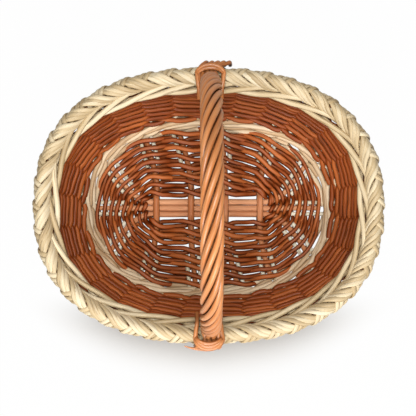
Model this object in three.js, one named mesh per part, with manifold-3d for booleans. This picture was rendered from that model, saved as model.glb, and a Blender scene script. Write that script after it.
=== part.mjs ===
// An oval willow basket with a roped bow handle, in millimetres, +Z up.
// The long way lies along X, the handle crosses the short way, and the basket stands on z = 0.
import * as THREE from "three";
import { mergeVertices } from "three/addons/utils/BufferGeometryUtils.js";
import Module from "manifold-3d";

const wasm = await Module();
wasm.setup();

// Overall sizes
const rimHalfLength = 225; // outer edge of the plaited border, along X
const rimHalfWidth = 177.5; // and along Y
const rimHeight = 145; // top of the border above the ground
const totalHeight = 330; // top of the handle
const ovalPower = 2.35; // 2 would be an ellipse, more is squarer
const clearance = 0.3; // between pieces that touch

// Base
const baseHalfLength = 160; // outer edge of the base weave
const baseHalfWidth = 113.5;
const baseLevel = 8.75; // middle of the base at its edge
const baseCrown = 6; // how far the middle of the base is domed up
const baseCover = 3.6; // thickness of the base weave over and under a stick
const baseRodDiameter = 6.4; // thickness of the base weave halfway between two sticks
const longStickDiameter = 7.5;
const longStickPitch = 8.5;
const crossStickDiameter = 9.5;
const crossStickPitch = 48;
const slitTaper = 12; // how far the halves of a slit stick take to close again
const slathMargin = 3; // from the outer cross sticks to the end of the bare middle
const slathTip = 28; // how far the base weave leaves the splayed ends of the long sticks bare
const stickEndInset = 4; // the sticks are trimmed this far inside the edge of the weave
const stickBend = 0.33; // share of the way to its end that a stick keeps straight before it splays
const longSplayAngle = 24.2; // degrees round the oval from X to where an outer long stick ends
const cornerSplayAngle = 47.8; // the same for the outer cross sticks
const outwardSplayAngle = 69; // for the end of an inner cross stick that leans outward
const inwardSplayAngle = 80.7; // and for its other end, which leans inward
const weaveStart = 18; // from the middle line to the first round of the base weave

// Wall
const stakeDiameter = 6;
const stakePhase = 0.127; // of a stake space, from X to the first stake at the rim
const stakeInsert = 0.45; // share of a stick's splayed end that a stake lies beside
const stakeSpreadHeight = 42; // height over which the stakes take their even spacing
const upsettTop = 24; // top of the waled band
const waleRodDiameter = 5;
const wallRows = 16; // rows of the side weave, passing inside and outside the stakes in turn
const wallRodButt = 7; // diameter of its rods where they start, at the foot
const wallRodTip = 4.6; // and where they end, at the border
const stakeCover = 0.8; // thickness of the weave on the side where a stake shows
const evenFlare = 0.3; // share of the flare that is spread evenly over the wall's height
const footWidth = 10; // of the waled band's flat foot
const footRise = 5; // height at which the band has its full thickness

// Border
const borderHeight = 28; // from the top of the side weave to the top of the border
const plaitWidth = 19;
const plaitHeight = 26;
const plaitRounding = 8; // radius of the border's outer top edge
const leanReach = 3; // how far the leaning rods reach outward past the middle of the wall
const leanHeight = 20;
const leanShoulder = 11; // height at which the leaning rods turn outward
const innerChamfer = 3; // of the border's inner edges

// Handle
const handleOffset = 2; // the bow stands this far beside the middle, along X
const bowDiameter = 9.6;
const bowSocketBottom = 52; // the bow's ends are pushed this far down into the wall
const archPower = 2;
const archStart = 20; // height above the border at which the roping becomes even
const strandCount = 7;
const strandDiameter = 7;
const strandShift = 17; // how many strand spaces the roping turns from foot to foot
const fanReach = 2; // strands on each side of the outermost one that fan out over the border
const strandDrop = 24; // how far the strand ends hang down outside the border
const collarDiameter = 4.5;
const collarReach = 24; // length of a collar's arms, inward from the outer bend
const collarTip = 8; // length of the tips of the arms, which dip towards the basket's inside
const collarDip = 5;
const collarTilt = 20; // degrees past the top of the border's rounding where the collar crosses

// Fineness of the round shapes
const ringSegments = 40;
const rodSides = 5;
const stickSides = 6;
const archSteps = 24;

const stakeRadius = stakeDiameter / 2;
const strandRadius = strandDiameter / 2;
const collarRadius = collarDiameter / 2;
const wallTop = rimHeight - borderHeight;
const crossRadius = crossStickDiameter / 2;
const longRadius = longStickDiameter / 2;
const bowRadius = bowDiameter / 2;
const strandPitch = strandDiameter + clearance;
const baseThickness = crossStickDiameter + 2 * baseCover;
const longPlaces = [-1, 0, 1];
const crossPlaces = [-1.5, -0.5, 0.5, 1.5];

const brownWillow = { color: 0x96502a, roughness: 0.55, metalness: 0 };
const handleWillow = { color: 0xc27a42, roughness: 0.42, metalness: 0 };
const peeledWillow = { color: 0xe6d7b0, roughness: 0.6, metalness: 0 };

// Half sizes of an oval, moved out or scaled
const grow = (size, by) => ({ length: size.length + by, width: size.width + by });
const scale = (size, by) => ({ length: size.length * by, width: size.width * by });

const baseSize = { length: baseHalfLength, width: baseHalfWidth };
const rimSize = { length: rimHalfLength, width: rimHalfWidth };
const wallFootSize = grow(baseSize, stakeRadius);
const wallTopSize = grow(rimSize, -plaitWidth - leanReach);

function ovalRadius(size, angle) {
  const along = Math.abs(Math.cos(angle)) / size.length;
  const across = Math.abs(Math.sin(angle)) / size.width;
  return (along ** ovalPower + across ** ovalPower) ** (-1 / ovalPower);
}

function ovalPoint(size, angle, height) {
  const radius = ovalRadius(size, angle);
  return new THREE.Vector3(radius * Math.cos(angle), radius * Math.sin(angle), height);
}

// Middle of the wall at a height: steep flare at the foot, nearly upright at the top
function wallAt(height) {
  const rise = (height - baseLevel) / (wallTop - baseLevel);
  const share = evenFlare * rise + (1 - evenFlare) * (1 - (1 - rise) ** 3);
  return {
    length: THREE.MathUtils.lerp(wallFootSize.length, wallTopSize.length, share),
    width: THREE.MathUtils.lerp(wallFootSize.width, wallTopSize.width, share),
  };
}

// Height of the middle of the domed base
function baseHeightAt(x, y) {
  const across = Math.abs(x / baseHalfLength) ** ovalPower + Math.abs(y / baseHalfWidth) ** ovalPower;
  return baseLevel + baseCrown * (1 - Math.min(across ** (2 / ovalPower), 1));
}

// Angles of points spaced evenly along the top of the wall
function evenAngles(count, phase) {
  const steps = 720;
  const lengths = [0];
  let before = ovalPoint(wallTopSize, 0, 0);
  for (let i = 1; i <= steps; i++) {
    const here = ovalPoint(wallTopSize, (i / steps) * 2 * Math.PI, 0);
    lengths.push(lengths[i - 1] + here.distanceTo(before));
    before = here;
  }
  const angles = [];
  for (let k = 0; k < count; k++) {
    const target = ((k + phase) / count) * lengths[steps];
    const i = lengths.findIndex((length) => length >= target);
    const part = (target - lengths[i - 1]) / (lengths[i] - lengths[i - 1]);
    angles.push(((i - 1 + part) / steps) * 2 * Math.PI);
  }
  return angles;
}

// A path whose steps are the given points, with its section kept square to one direction
class StepPath extends THREE.Curve {
  constructor(points, across) {
    super();
    this.points = points;
    this.across = across;
  }

  getPointAt(share, target = new THREE.Vector3()) {
    return target.copy(this.points[Math.round(share * (this.points.length - 1))]);
  }

  computeFrenetFrames(steps) {
    const frames = { tangents: [], normals: [], binormals: [] };
    for (let i = 0; i <= steps; i++) {
      const ahead = this.points[Math.min(i + 1, steps)];
      const behind = this.points[Math.max(i - 1, 0)];
      const tangent = new THREE.Vector3().subVectors(ahead, behind).normalize();
      const normal = this.across.clone().addScaledVector(tangent, -tangent.dot(this.across)).normalize();
      frames.tangents.push(tangent);
      frames.normals.push(normal);
      frames.binormals.push(new THREE.Vector3().crossVectors(tangent, normal));
    }
    return frames;
  }
}

function roundSection(radius, sides) {
  const points = [];
  for (let i = 0; i < sides; i++) {
    const angle = ((i + 0.5) / sides) * 2 * Math.PI;
    points.push(new THREE.Vector2(radius * Math.cos(angle), radius * Math.sin(angle)));
  }
  return new THREE.Shape(points);
}

function solid(geometry) {
  geometry.deleteAttribute("normal");
  geometry.deleteAttribute("uv");
  const merged = mergeVertices(geometry);
  const mesh = new wasm.Mesh({
    numProp: 3,
    vertProperties: merged.getAttribute("position").array,
    triVerts: new Uint32Array(merged.getIndex().array),
  });
  return new wasm.Manifold(mesh);
}

function sweep(section, points, across) {
  const extrudePath = new StepPath(points, across);
  return solid(new THREE.ExtrudeGeometry(section, { steps: points.length - 1, extrudePath }));
}

// A rod, or the channel for it when it is made longer and thicker by the clearance
function rod(points, radius, across, extra = 0, sides = rodSides) {
  const ends = points.slice();
  const last = ends.length - 1;
  const first = new THREE.Vector3().subVectors(ends[0], ends[1]).setLength(extra).add(ends[0]);
  const final = new THREE.Vector3().subVectors(ends[last], ends[last - 1]).setLength(extra).add(ends[last]);
  ends[0] = first;
  ends[last] = final;
  return sweep(roundSection(radius + extra, sides), ends, across);
}

// A closed ring round the basket: steps round it, each with the points of a closed profile
function ring(steps, profileLength, pointAt) {
  const profile = Array.from({ length: profileLength + 1 }, (_, j) => new THREE.Vector2(1, j));
  const turned = new THREE.LatheGeometry(profile, steps);
  const position = turned.getAttribute("position");
  for (let i = 0; i < position.count; i++) {
    const step = Math.floor(i / profile.length) % steps;
    position.setXYZ(i, ...pointAt(step, (i % profile.length) % profileLength));
  }
  return solid(turned);
}

// The same from a profile of half sizes and heights
function ovalRing(profile) {
  return ring(ringSegments, profile.length, (step, j) => {
    const { size, height } = profile[j];
    return ovalPoint(size, (step / ringSegments) * 2 * Math.PI, height);
  });
}

const joined = (solids) => solids.reduce((whole, next) => whole.add(next));

function piece(name, body, look) {
  const mesh = body.getMesh();
  const geometry = new THREE.BufferGeometry();
  geometry.setAttribute("position", new THREE.BufferAttribute(mesh.vertProperties, 3));
  geometry.setIndex(new THREE.BufferAttribute(mesh.triVerts, 1));
  geometry.computeVertexNormals();
  const made = new THREE.Mesh(geometry, new THREE.MeshStandardMaterial(look));
  made.name = name;
  return made;
}

// Base sticks. Each half of a stick runs straight, then bends to its end on the base's edge.
const radians = THREE.MathUtils.degToRad;
const stickEndSize = grow(baseSize, -stickEndInset);

function stickEnd(start, heading, degrees) {
  const edge = ovalPoint(stickEndSize, radians(degrees), 0);
  const end = new THREE.Vector2(edge.x, edge.y);
  const bend = start.clone().addScaledVector(heading, start.distanceTo(end) * stickBend);
  return new THREE.QuadraticBezierCurve(start, bend, end);
}

const domed = (point) => new THREE.Vector3(point.x, point.y, baseHeightAt(point.x, point.y));

const splaySteps = [0, 0.35, 0.7, 1];
const splayed = (end) => splaySteps.map((t) => domed(end.getPoint(t)));

const slitHalfWidth = longStickPitch + longStickDiameter / 2 + clearance;
const slitHalfHeight = longStickDiameter / 2 + clearance;
const crossStart = slitHalfWidth + slitTaper;
const longStart = crossPlaces[3] * crossStickPitch + crossRadius + slathMargin;
const alongX = new THREE.Vector3(1, 0, 0);
const alongY = new THREE.Vector3(0, 1, 0);
const alongZ = new THREE.Vector3(0, 0, 1);

// The slit middle of a cross stick: two halves held apart by the long sticks between them
function slitMiddle(x, radius) {
  const outline = new THREE.Shape();
  const shoulder = slitHalfHeight + radius;
  outline.moveTo(-crossStart, -radius).lineTo(-slitHalfWidth, -shoulder).lineTo(slitHalfWidth, -shoulder);
  outline.lineTo(crossStart, -radius).lineTo(crossStart, radius).lineTo(slitHalfWidth, shoulder);
  outline.lineTo(-slitHalfWidth, shoulder).lineTo(-crossStart, radius).closePath();
  const slit = new THREE.Path();
  const tip = slitHalfWidth + slitTaper / 2;
  slit.moveTo(-tip, 0).lineTo(-slitHalfWidth, slitHalfHeight).lineTo(slitHalfWidth, slitHalfHeight);
  slit.lineTo(tip, 0).lineTo(slitHalfWidth, -slitHalfHeight).lineTo(-slitHalfWidth, -slitHalfHeight);
  slit.closePath();
  outline.holes.push(slit);
  const block = new THREE.ExtrudeGeometry(outline, { depth: 2 * radius, bevelEnabled: false });
  block.translate(0, 0, -radius);
  block.rotateY(Math.PI / 2);
  block.rotateX(Math.PI / 2);
  block.translate(x, 0, baseHeightAt(x, 0));
  return solid(block);
}

const crossAngles = [
  { top: 180 - cornerSplayAngle, bottom: 180 + cornerSplayAngle },
  { top: 180 - outwardSplayAngle, bottom: 180 + inwardSplayAngle },
  { top: inwardSplayAngle, bottom: -outwardSplayAngle },
  { top: cornerSplayAngle, bottom: -cornerSplayAngle },
];
const crossEnds = crossPlaces.map((place, i) => {
  const x = place * crossStickPitch;
  return {
    x,
    top: stickEnd(new THREE.Vector2(x, crossStart), new THREE.Vector2(0, 1), crossAngles[i].top),
    bottom: stickEnd(new THREE.Vector2(x, -crossStart), new THREE.Vector2(0, -1), crossAngles[i].bottom),
  };
});
const longEnds = longPlaces.map((place) => {
  const y = place * longStickPitch;
  return {
    right: stickEnd(new THREE.Vector2(longStart, y), new THREE.Vector2(1, 0), place * longSplayAngle),
    left: stickEnd(new THREE.Vector2(-longStart, y), new THREE.Vector2(-1, 0), 180 - place * longSplayAngle),
  };
});

function longStick(ends, extra = 0) {
  const crossings = crossPlaces.map((place) => domed(ends.right.v0.clone().setX(place * crossStickPitch)));
  const points = [...splayed(ends.left).reverse(), ...crossings, ...splayed(ends.right)];
  return rod(points, longRadius, alongY, extra, stickSides);
}

function crossStick(ends, extra = 0) {
  const inside = (end) => domed(end.v0.clone().addScaledVector(end.getTangent(0), -crossRadius / 2));
  const legs = [ends.top, ends.bottom].map((end) => {
    const points = [inside(end), ...splayed(end)];
    return rod(points, crossRadius, alongX, extra, stickSides);
  });
  return slitMiddle(ends.x, crossRadius + extra).add(legs[0]).add(legs[1]);
}

// Side stakes. Each starts beside a stick's end, bends up at the edge and climbs the wall.
function stakeFeet(end, stickRadius, sides) {
  const aside = stickRadius + stakeRadius + 2 * clearance;
  return sides.map((side) => {
    const points = [1 - stakeInsert, 1 - stakeInsert / 2, 1].map((t) => {
      const along = end.getTangent(t);
      const offset = new THREE.Vector2(-along.y, along.x).multiplyScalar(side * aside);
      return end.getPoint(t).add(offset);
    });
    return { points, angle: Math.atan2(points[2].y, points[2].x) };
  });
}

const bothSides = [-1, 1];
const leftSide = [1]; // the inner cross sticks have one stake only at the end that leans outward
const feet = [
  ...longEnds.flatMap((ends) => stakeFeet(ends.right, longRadius, bothSides)),
  ...longEnds.flatMap((ends) => stakeFeet(ends.left, longRadius, bothSides)),
  ...crossEnds.flatMap((ends, i) => stakeFeet(ends.top, crossRadius, i === 1 ? leftSide : bothSides)),
  ...crossEnds.flatMap((ends, i) => stakeFeet(ends.bottom, crossRadius, i === 2 ? leftSide : bothSides)),
];
const fullTurn = (angle) => (angle + 2 * Math.PI) % (2 * Math.PI);
feet.sort((a, b) => fullTurn(a.angle) - fullTurn(b.angle));

const rimAngles = evenAngles(feet.length, stakePhase);
const stakeHeights = [
  baseLevel + stakeRadius,
  (baseLevel + upsettTop) / 2,
  upsettTop,
  ...[0.11, 0.22, 0.4, 0.6, 0.8, 1].map((share) => THREE.MathUtils.lerp(upsettTop, wallTop, share)),
];

function stakeAngle(k, height) {
  const foot = feet[k].angle;
  const turn = Math.atan2(Math.sin(rimAngles[k] - foot), Math.cos(rimAngles[k] - foot));
  return foot + turn * THREE.MathUtils.smoothstep(height, baseLevel, baseLevel + stakeSpreadHeight);
}

const stakes = feet.map((foot, k) => {
  const wall = stakeHeights.map((height) => ovalPoint(wallAt(height), stakeAngle(k, height), height));
  return {
    points: [...foot.points.map(domed), ...wall],
    across: new THREE.Vector3(-Math.sin(foot.angle), Math.cos(foot.angle), 0),
  };
});

// Handle bow: down into the wall at both sides, and an arch over the basket
const stepTurn = ((strandShift / strandCount) * 2 * Math.PI) / archSteps;
const seatRadius = bowRadius + clearance + strandRadius;
const crowdRadius = strandPitch / (2 * Math.sin(Math.PI / strandCount));
const ropeRadius = Math.max(seatRadius, crowdRadius) / Math.cos(stepTurn / 2);
const archFoot = rimHeight + archStart;
const archRise = totalHeight - ropeRadius - strandRadius - wallTop;
const archStartAngle = Math.asin(((archFoot - wallTop) / archRise) ** (archPower / 2));

// The bow's middle line above the border, on an arch that springs from the top of the wall
function archPoint(share) {
  const angle = THREE.MathUtils.lerp(archStartAngle, Math.PI - archStartAngle, share);
  const away = -Math.sign(Math.cos(angle)) * Math.abs(Math.cos(angle)) ** (2 / archPower);
  const up = Math.sin(angle) ** (2 / archPower);
  return new THREE.Vector3(handleOffset, wallTopSize.width * away, wallTop + archRise * up);
}

function archHalfSpan(height) {
  return wallTopSize.width * (1 - ((height - wallTop) / archRise) ** archPower) ** (1 / archPower);
}

const bowHeights = [bowSocketBottom, (bowSocketBottom + wallTop) / 2, wallTop];
const bowLeg = (side) => bowHeights.map(
  (height) => new THREE.Vector3(handleOffset, side * wallAt(height).width, height),
);
const archShares = Array.from({ length: archSteps + 1 }, (_, i) => i / archSteps);
const archPoints = archShares.map(archPoint);
const bowPoints = [...bowLeg(-1), ...archPoints, ...bowLeg(1).reverse()];

// Roping: each strand winds round the bow, then five of the seven fan out over the border
const overRadius = plaitRounding + clearance + strandRadius;
const roundingY = rimHalfWidth - plaitRounding;
const roundingZ = rimHeight - plaitRounding;
const fanSteps = [0.25, 0.5, 0.75];
const overAngles = [0, 30, 60, 90];

function strandFoot(side, place) {
  const turn = (place / strandCount) * 2 * Math.PI;
  const helixX = ropeRadius * Math.sin(turn);
  const helixY = (height) => archHalfSpan(height) + ropeRadius * Math.cos(turn);
  const rowX = place * strandPitch;
  if (Math.abs(place) > fanReach) {
    const seat = wallTop + leanHeight + clearance;
    return [new THREE.Vector3(handleOffset + helixX, side * helixY(seat), seat)];
  }
  const top = rimHeight + clearance + strandRadius;
  const bend = new THREE.QuadraticBezierCurve(
    new THREE.Vector2(helixY(archFoot), archFoot),
    new THREE.Vector2(helixY(top), top),
    new THREE.Vector2(roundingY, top),
  );
  const fan = fanSteps.map((t) => {
    const point = bend.getPoint(t);
    const x = THREE.MathUtils.lerp(helixX, rowX, THREE.MathUtils.smoothstep(t, 0, 0.75));
    return new THREE.Vector3(handleOffset + x, side * point.x, point.y);
  });
  const over = overAngles.map((degrees) => {
    const y = roundingY + overRadius * Math.sin(radians(degrees));
    const z = roundingZ + overRadius * Math.cos(radians(degrees));
    return new THREE.Vector3(handleOffset + rowX, side * y, z);
  });
  const hang = over[over.length - 1].clone().setZ(rimHeight - strandDrop);
  return [...fan, ...over, hang];
}

// A strand's place among the others at a foot, counted from the one farthest outward
function placeAtFoot(index) {
  const half = (strandCount - 1) / 2;
  return ((((index + half) % strandCount) + strandCount) % strandCount) - half;
}

function strandPoints(index) {
  const wound = archShares.map((share, i) => {
    const centre = archPoints[i];
    const ahead = archPoints[Math.min(i + 1, archSteps)];
    const behind = archPoints[Math.max(i - 1, 0)];
    const tangent = new THREE.Vector3().subVectors(ahead, behind).normalize();
    const outward = new THREE.Vector3().crossVectors(alongX, tangent);
    const turn = ((index + strandShift * share) / strandCount) * 2 * Math.PI;
    return centre.clone()
      .addScaledVector(outward, ropeRadius * Math.cos(turn))
      .addScaledVector(alongX, ropeRadius * Math.sin(turn));
  });
  const start = strandFoot(-1, placeAtFoot(index)).reverse();
  const end = strandFoot(1, placeAtFoot(index + strandShift));
  return [...start, ...wound, ...end];
}

// Collars: a bent rod over the fanned strands, holding them down on the border
function collarPoints(side) {
  const tilt = radians(collarTilt);
  const rowEdge = fanReach * strandPitch;
  const grip = strandRadius + clearance + collarRadius;
  const restZ = rimHeight + clearance + collarRadius;
  const around = (x, radial) => new THREE.Vector3(
    x, roundingY + radial * Math.sin(tilt), roundingZ + radial * Math.cos(tilt));
  const bends = [90, 60, 30, 0].map((degrees) => around(
    rowEdge + grip * Math.sin(radians(degrees)), overRadius + grip * Math.cos(radians(degrees))));
  const armEnd = bends[0].y - collarReach;
  const arm = [
    new THREE.Vector3(bends[0].x, armEnd, restZ - collarDip),
    new THREE.Vector3(bends[0].x, armEnd + collarTip, restZ),
    new THREE.Vector3(bends[0].x, roundingY, restZ),
  ];
  const half = [...arm, ...bends];
  const other = half.map((point) => new THREE.Vector3(-point.x, point.y, point.z)).reverse();
  return [...half, ...other].map(
    (point) => new THREE.Vector3(handleOffset + point.x, side * point.y, point.z));
}

// Rings of the base, the wall and the border, each with the channels that the rods run in
const stakeChannels = joined(
  stakes.map((stake) => rod(stake.points, stakeRadius, stake.across, clearance)),
);
const bowChannel = rod(bowPoints, bowRadius, alongX, clearance);

// The splayed ends of the sticks in turn, with the share of each that the base weave leaves bare
const spokes = [
  ...crossEnds.flatMap((ends) => [ends.top, ends.bottom]).map(
    (end) => ({ end, radius: crossRadius, bare: 0 }),
  ),
  ...longEnds.flatMap((ends) => [ends.right, ends.left]).map(
    (end) => ({ end, radius: longRadius, bare: slathTip / end.v0.distanceTo(end.v2) }),
  ),
].map((spoke) => ({ ...spoke, angle: fullTurn(Math.atan2(spoke.end.v2.y, spoke.end.v2.x)) }));
spokes.sort((a, b) => a.angle - b.angle);

function spokePoint({ end, bare }, share) {
  if (share || bare) return end.getPoint(THREE.MathUtils.lerp(bare, 1, share));
  return new THREE.Vector2(end.v0.x, Math.sign(end.v0.y) * weaveStart);
}

// The base weave rises over and under each stick, and is one rod thick halfway between two
function baseWeave() {
  const rows = [[1, -1], [1, 1], [0.7, 1], [0.35, 1], [0, 1], [0, -1], [0.35, -1], [0.7, -1]];
  const plate = ring(2 * spokes.length, rows.length, (step, j) => {
    const [share, side] = rows[j];
    const spoke = spokes[Math.floor(step / 2)];
    const next = spokes[Math.ceil(step / 2) % spokes.length];
    const half = spoke === next ? spoke.radius + baseCover : baseRodDiameter / 2;
    const place = share === 1
      ? ovalPoint(wallFootSize, spoke.angle + fullTurn(next.angle - spoke.angle) / 2, 0)
      : new THREE.Vector2().lerpVectors(spokePoint(spoke, share), spokePoint(next, share), 0.5);
    return domed(place).add(new THREE.Vector3(0, 0, side * half));
  });
  const middle = scale(baseSize, 0.05);
  const outline = ovalRing([
    { size: middle, height: -baseThickness },
    { size: baseSize, height: -baseThickness },
    { size: baseSize, height: 3 * baseThickness },
    { size: middle, height: 3 * baseThickness },
  ]);
  const sticks = joined([
    ...crossEnds.map((ends) => crossStick(ends, clearance)),
    ...longEnds.map((ends) => longStick(ends, clearance)),
  ]);
  return plate.intersect(outline).subtract(sticks).subtract(stakeChannels);
}

function upsettWale() {
  const half = stakeRadius + waleRodDiameter;
  const inner = grow(baseSize, clearance);
  const middle = (baseLevel + upsettTop) / 2;
  const profile = [
    { size: inner, height: 0 },
    { size: grow(inner, footWidth), height: 0 },
    { size: grow(wallAt(baseLevel), half), height: footRise },
    { size: grow(wallAt(middle), half), height: middle },
    { size: grow(wallAt(upsettTop), half), height: upsettTop },
    { size: grow(wallAt(upsettTop), -half), height: upsettTop },
    { size: inner, height: baseLevel + baseThickness / 2 },
  ];
  return ovalRing(profile).subtract(stakeChannels);
}

const wallHalf = stakeRadius + wallRodTip;

// Height of a row of the side weave: the rows get lower as the rods get thinner
function rowHeight(row) {
  const bottom = upsettTop + clearance;
  const taper = (wallRodButt - wallRodTip) / (wallRodButt + wallRodTip);
  const share = (row + 0.5) / wallRows;
  return bottom + (wallTop - bottom) * (share + taper * share * (1 - share));
}

// The rods of the even rows pass inside the stakes and those of the odd rows outside them.
// Halfway between two stakes all of them are in the middle of the wall.
function sideWeave() {
  const covered = stakeRadius + clearance + stakeCover;
  const edge = (height) => ({ height, reach: [covered, wallRodTip / 2] });
  const rowsOn = (side) => [
    edge(upsettTop + clearance),
    ...Array.from({ length: wallRows }, (_, row) => {
      const rodDiameter = THREE.MathUtils.lerp(wallRodButt, wallRodTip, (row + 0.5) / wallRows);
      const passing = (row % 2 === 0) === (side < 0);
      const atStake = passing ? stakeRadius + rodDiameter : covered;
      return { height: rowHeight(row), reach: [atStake, rodDiameter / 2] };
    }),
    edge(wallTop),
  ].map((row) => ({ ...row, side }));
  const profile = [...rowsOn(1), ...rowsOn(-1).reverse()];
  const weave = ring(2 * stakes.length, profile.length, (step, j) => {
    const { height, side, reach } = profile[j];
    const k = Math.floor(step / 2);
    const angle = stakeAngle(k, height);
    const toNext = fullTurn(stakeAngle((k + 1) % stakes.length, height) - angle);
    const size = grow(wallAt(height), side * reach[step % 2]);
    return ovalPoint(size, angle + (toNext / 2) * (step % 2), height);
  });
  return weave.subtract(stakeChannels).subtract(bowChannel);
}

function leaningRods() {
  const at = (offset, rise) => ({ size: grow(wallTopSize, offset), height: wallTop + rise });
  const profile = [
    at(wallHalf, 2 * clearance),
    at(wallHalf, leanShoulder),
    at(leanReach - clearance, leanHeight),
    at(innerChamfer - wallHalf, leanHeight),
    at(-wallHalf, leanShoulder),
    at(-wallHalf, 2 * clearance),
  ];
  return ovalRing(profile).subtract(bowChannel);
}

function plait() {
  const bottom = rimHeight - plaitHeight;
  const rounding = [0, 30, 60, 90].map((degrees) => ({
    size: grow(rimSize, plaitRounding * (Math.cos(radians(degrees)) - 1)),
    height: roundingZ + plaitRounding * Math.sin(radians(degrees)),
  }));
  const profile = [
    { size: grow(wallTopSize, wallHalf + 2 * clearance), height: bottom },
    { size: grow(rimSize, -plaitRounding), height: bottom },
    { size: rimSize, height: bottom + plaitRounding },
    ...rounding,
    { size: grow(rimSize, innerChamfer - plaitWidth), height: rimHeight },
    { size: grow(rimSize, -plaitWidth), height: wallTop + leanHeight + 2 * clearance },
    { size: grow(wallTopSize, wallHalf + 2 * clearance), height: wallTop + leanShoulder + 2 * clearance },
  ];
  return ovalRing(profile).subtract(bowChannel);
}

const basket = new THREE.Group();
basket.add(piece("base_weave", baseWeave(), brownWillow));
crossEnds.forEach((ends, i) => {
  basket.add(piece(`base_cross_stick_${i + 1}`, crossStick(ends), brownWillow));
});
longEnds.forEach((ends, i) => {
  basket.add(piece(`base_long_stick_${i + 1}`, longStick(ends), brownWillow));
});
stakes.forEach((stake, k) => {
  const name = `side_stake_${String(k + 1).padStart(2, "0")}`;
  basket.add(piece(name, rod(stake.points, stakeRadius, stake.across), peeledWillow));
});
basket.add(piece("upsett_wale", upsettWale(), peeledWillow));
basket.add(piece("side_weave", sideWeave(), brownWillow));
basket.add(piece("border_leaning_rods", leaningRods(), peeledWillow));
basket.add(piece("border_plait", plait(), peeledWillow));
basket.add(piece("handle_bow", rod(bowPoints, bowRadius, alongX), handleWillow));
for (let i = 0; i < strandCount; i++) {
  basket.add(piece(`handle_strand_${i + 1}`, rod(strandPoints(i), strandRadius, alongX), handleWillow));
}
basket.add(piece("handle_collar_front", rod(collarPoints(-1), collarRadius, alongZ), handleWillow));
basket.add(piece("handle_collar_back", rod(collarPoints(1), collarRadius, alongZ), handleWillow));

export default basket;
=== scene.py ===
# An oval willow basket with a roped bow handle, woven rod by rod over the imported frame.
# Metres, +Z up. The long way lies along X, and the handle crosses the short way.
import random
from math import asin, atan2, copysign, cos, hypot, pi, radians, sin, sqrt, tan
import bpy
from mathutils import Matrix, Vector


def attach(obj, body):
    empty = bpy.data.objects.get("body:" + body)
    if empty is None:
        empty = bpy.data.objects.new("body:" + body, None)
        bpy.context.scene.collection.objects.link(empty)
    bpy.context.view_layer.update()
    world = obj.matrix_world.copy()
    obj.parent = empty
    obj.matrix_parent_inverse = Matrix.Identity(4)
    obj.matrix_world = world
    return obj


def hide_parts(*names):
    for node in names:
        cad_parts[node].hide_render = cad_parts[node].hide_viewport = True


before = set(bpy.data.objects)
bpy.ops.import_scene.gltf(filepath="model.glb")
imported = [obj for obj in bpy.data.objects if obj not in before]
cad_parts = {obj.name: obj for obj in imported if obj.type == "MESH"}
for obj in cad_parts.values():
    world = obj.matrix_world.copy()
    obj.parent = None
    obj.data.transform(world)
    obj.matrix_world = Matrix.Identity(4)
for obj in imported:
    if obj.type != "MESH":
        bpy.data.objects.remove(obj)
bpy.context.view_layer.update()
mm = 0.001


class Settings(dict):
    # a dictionary whose values can be read by name
    __getattr__ = dict.__getitem__


# The basket's plan, the same as in its CAD source
basket = Settings(
    rimLength=225 * mm, rimWidth=177.5 * mm, rimHeight=145 * mm, totalHeight=330 * mm, ovalPower=2.35,
    baseLength=160 * mm, baseWidth=113.5 * mm, baseLevel=8.75 * mm, baseCrown=6 * mm, wallTop=117 * mm,
    wallTopInset=22 * mm, evenFlare=0.3, stakeRadius=3 * mm, stakeCount=26, stakePhase=0.127,
    spreadHeight=42 * mm)
footSize = (basket.baseLength + basket.stakeRadius, basket.baseWidth + basket.stakeRadius)
topSize = (basket.rimLength - basket.wallTopInset, basket.rimWidth - basket.wallTopInset)
wallRise = basket.wallTop - basket.baseLevel


def mix(a, b, share):
    return a + (b - a) * share


def smoothStep(value, low, high):
    t = min(max((value - low) / (high - low), 0), 1)
    return t * t * (3 - 2 * t)


def ovalPoint(size, angle, height=0.0):
    power = basket.ovalPower
    across = (abs(cos(angle)) / size[0]) ** power + (abs(sin(angle)) / size[1]) ** power
    radius = across ** (-1 / power)
    return Vector((radius * cos(angle), radius * sin(angle), height))


def wallAt(height):
    rise = (height - basket.baseLevel) / wallRise
    share = basket.evenFlare * rise + (1 - basket.evenFlare) * (1 - (1 - rise) ** 3)
    return mix(footSize[0], topSize[0], share), mix(footSize[1], topSize[1], share)


def domed(x, y, lift=0.0):
    # a place over the base, which rises to its middle
    power = basket.ovalPower
    across = abs(x / basket.baseLength) ** power + abs(y / basket.baseWidth) ** power
    height = basket.baseLevel + basket.baseCrown * (1 - min(across ** (2 / power), 1))
    return Vector((x, y, height + lift))


def thinning(radius, tip):
    return lambda share: radius * mix(1, tip, share)


def lengthsAlong(pointAt, steps):
    lengths, before = [0.0], pointAt(0)
    for i in range(1, steps + 1):
        here = pointAt(i / steps)
        lengths.append(lengths[-1] + (here - before).length)
        before = here
    return lengths


def evenAngles(count, phase, steps=1440):
    lengths = lengthsAlong(lambda share: ovalPoint(topSize, share * 2 * pi), steps)
    angles, i = [], 1
    for k in range(count):
        target = (k + phase) / count * lengths[-1]
        while lengths[i] < target:
            i += 1
        part = (target - lengths[i - 1]) / (lengths[i] - lengths[i - 1])
        angles.append((i - 1 + part) / steps * 2 * pi)
    return angles


def curveAt(a, b, c, d, t):
    # a smooth curve from b to c, where a comes before them and d after
    return 0.5 * (2 * b + (c - a) * t + (2 * a - 5 * b + 4 * c - d) * t ** 2
                  + (3 * b - a - 3 * c + d) * t ** 3)


def smoothLine(points, spacing):
    # a smooth line through the points, with a step about every spacing
    ends = [2 * points[0] - points[1], *points, 2 * points[-1] - points[-2]]
    line = []
    for a, b, c, d in zip(ends, ends[1:], ends[2:], ends[3:]):
        steps = max(1, round((c - b).length / spacing))
        line += [curveAt(a, b, c, d, i / steps) for i in range(steps)]
    return [*line, points[-1].copy()]


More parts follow.
